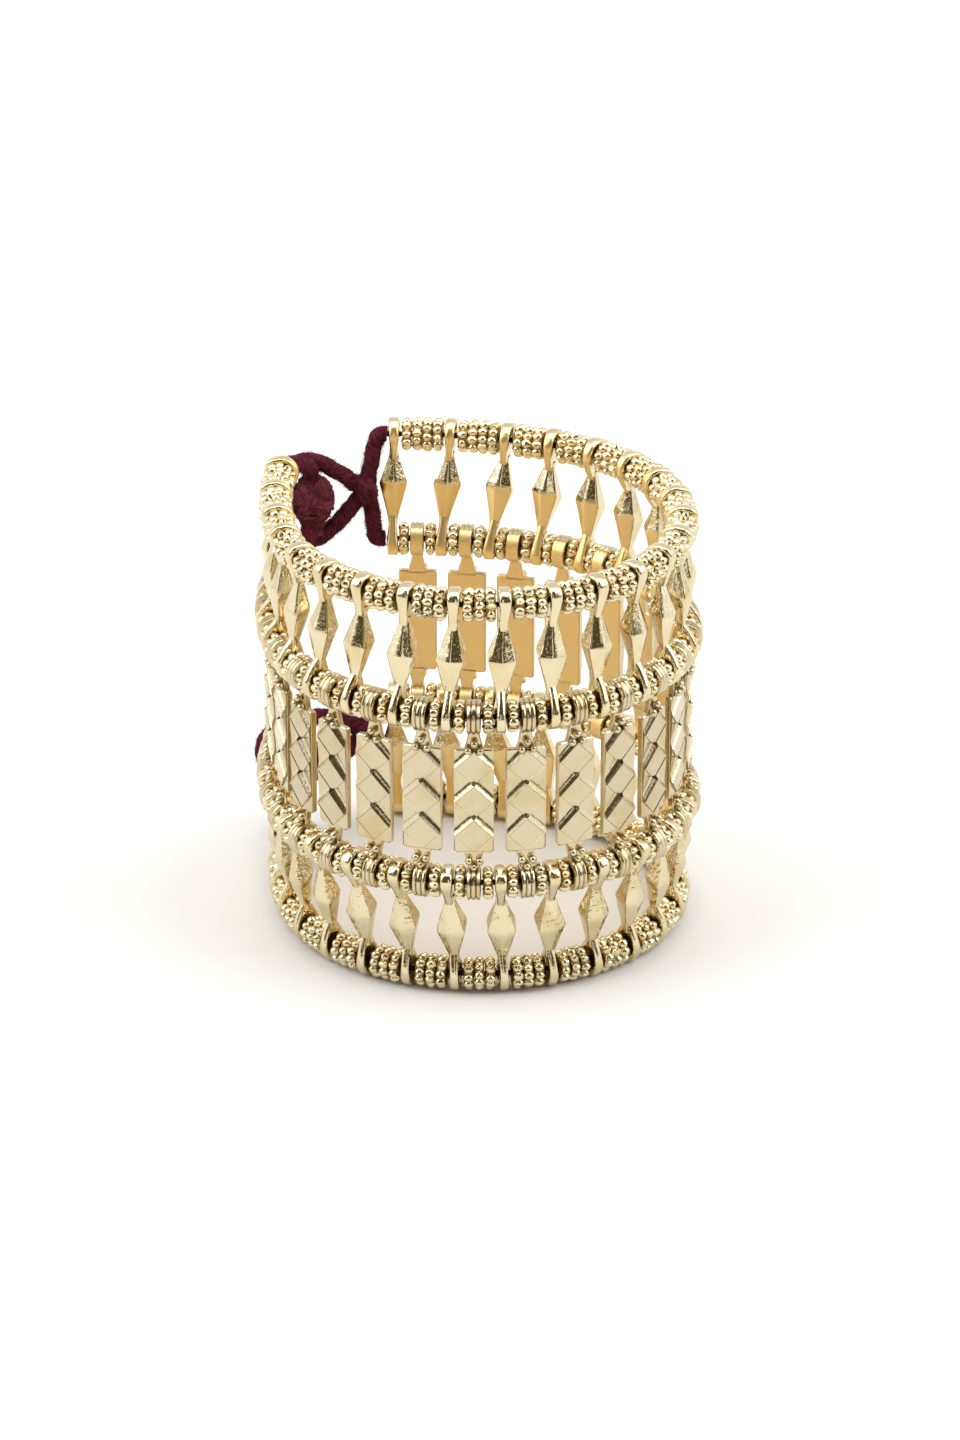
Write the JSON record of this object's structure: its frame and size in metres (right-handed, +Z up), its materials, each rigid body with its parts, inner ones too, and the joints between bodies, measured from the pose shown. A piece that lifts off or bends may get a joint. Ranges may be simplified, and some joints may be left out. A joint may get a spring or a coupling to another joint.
{
  "type": "articulated cuff bracelet",
  "caption": "Wide open-work cuff bracelet of gold-plated spindle and tile links strung between granulated spacer beads, closed by cotton loops over wound buttons.",
  "frame": {"origin": "on the surface that the lower rim stands on, below the middle of the bounding box", "axes": "+Z up along the wrist opening, front of the bracelet towards -Y, closure at the back left (-X, +Y)"},
  "size_m": [0.0639, 0.0672, 0.0622],
  "materials": {
    "cast_gold": "polished pale gold plating",
    "thread": "waxed thread",
    "cotton_cord": "soft two-ply cotton",
    "wound_button": "thread wound over a ball"
  },
  "bodies": {
    "root": {"spindles_top": "cast_gold", "spindles_bottom": "cast_gold", "beads_top": "cast_gold", "beads_upper": "cast_gold", "beads_lower": "cast_gold", "beads_bottom": "cast_gold", "tile_01": "cast_gold", "tile_02": "cast_gold", "tile_03": "cast_gold", "tile_04": "cast_gold", "tile_05": "cast_gold", "tile_06": "cast_gold", "tile_07": "cast_gold", "tile_08": "cast_gold", "tile_09": "cast_gold", "tile_10": "cast_gold", "tile_11": "cast_gold", "tile_12": "cast_gold", "tile_13": "cast_gold", "tile_14": "cast_gold", "tile_15": "cast_gold", "tile_16": "cast_gold", "tile_17": "cast_gold", "tile_18": "cast_gold", "tile_19": "cast_gold", "tile_20": "cast_gold", "tile_21": "cast_gold", "tile_22": "cast_gold", "tile_23": "cast_gold", "thread_top": "thread", "thread_upper": "thread", "thread_lower": "thread", "thread_bottom": "thread", "loop_cord_upper": "cotton_cord", "button_cord_upper": "cotton_cord", "loop_cord_lower": "cotton_cord", "button_cord_lower": "cotton_cord", "button_upper": "wound_button", "button_lower": "wound_button"}
  },
  "joints": []
}
